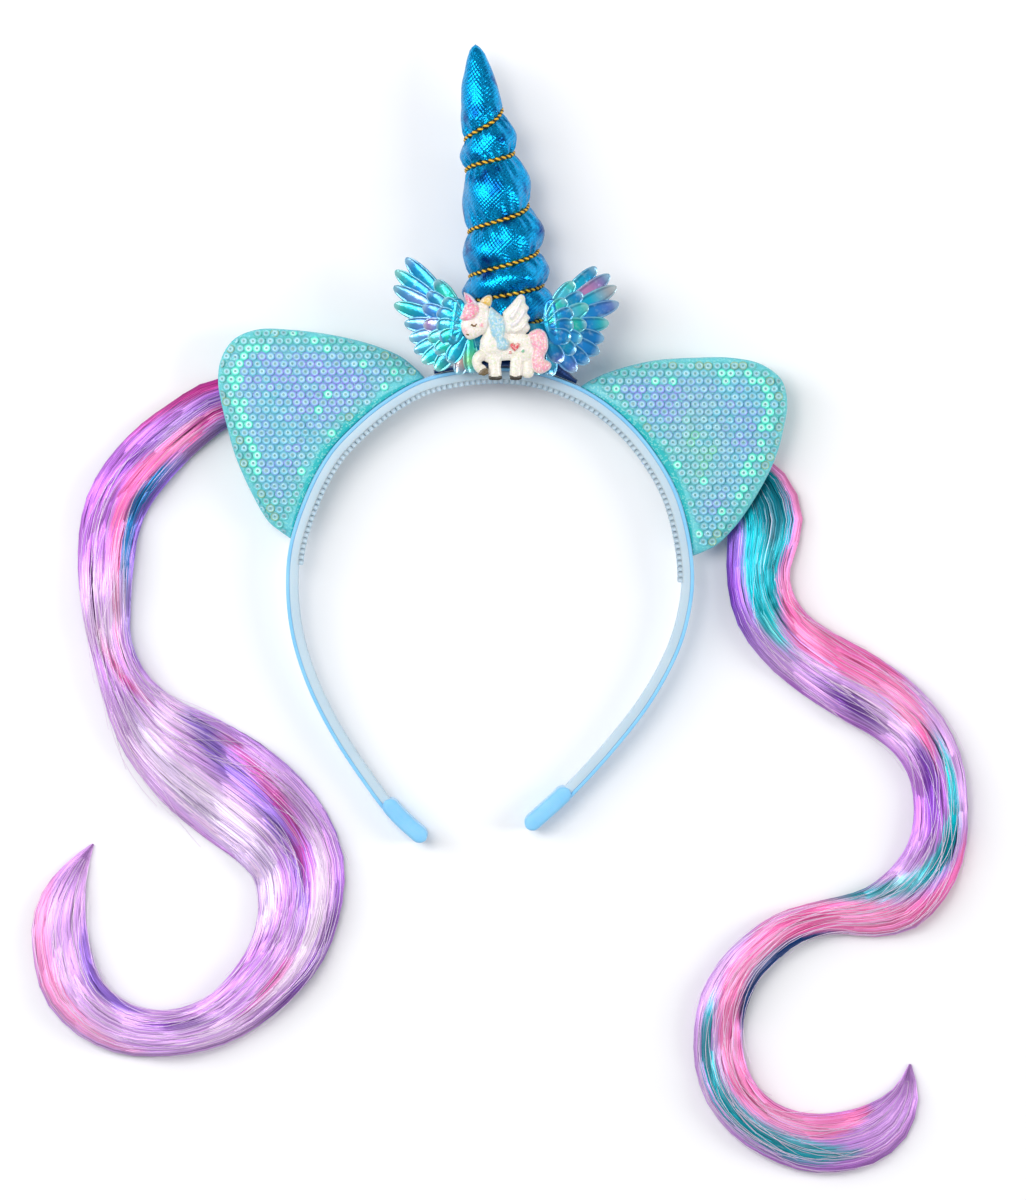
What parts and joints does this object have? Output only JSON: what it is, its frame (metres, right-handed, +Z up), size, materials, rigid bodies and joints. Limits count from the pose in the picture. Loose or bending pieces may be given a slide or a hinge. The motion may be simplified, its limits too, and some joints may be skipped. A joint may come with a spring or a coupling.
{
  "type": "unicorn horn headband",
  "caption": "Comb headband with padded ears, a stuffed spiral horn, feathered wings, a small charm and two long wavy locks of hair, lying on its back.",
  "frame": {"origin": "middle of the footprint, on the surface that the headband lies on", "axes": "+Y runs from the tips of the band towards the horn, +X runs across the band to the right as seen from the front, +Z points up from the surface, out of the front of the band"},
  "size_m": [0.291, 0.3498, 0.0357],
  "materials": {
    "clear_plastic": "translucent, smooth",
    "ribbon": "satin ribbon",
    "sequin_cloth": "glitter cloth with clear sequins",
    "metallic_cloth": "foil-coated woven cloth",
    "gold_cord": "twisted metallic cord",
    "navy_cloth": "foil-coated cloth",
    "holographic_film": "embossed holographic film",
    "glitter_resin": "pearly resin with glitter",
    "hair_lilac": "synthetic hair",
    "hair_mixed": "synthetic hair in four colours",
    "clasp_plastic": "moulded"
  },
  "bodies": {
    "root": {"band_core": "clear_plastic", "band_cover": "ribbon", "ear_left": "sequin_cloth", "ear_right": "sequin_cloth", "horn": "metallic_cloth", "horn_cord": "gold_cord", "horn_pad": "navy_cloth", "wing_left": "holographic_film", "wing_right": "holographic_film", "charm": "glitter_resin", "hair_left": "hair_lilac", "hair_right": "hair_mixed", "hair_clasp_left": "clasp_plastic", "hair_clasp_right": "clasp_plastic"}
  },
  "joints": []
}
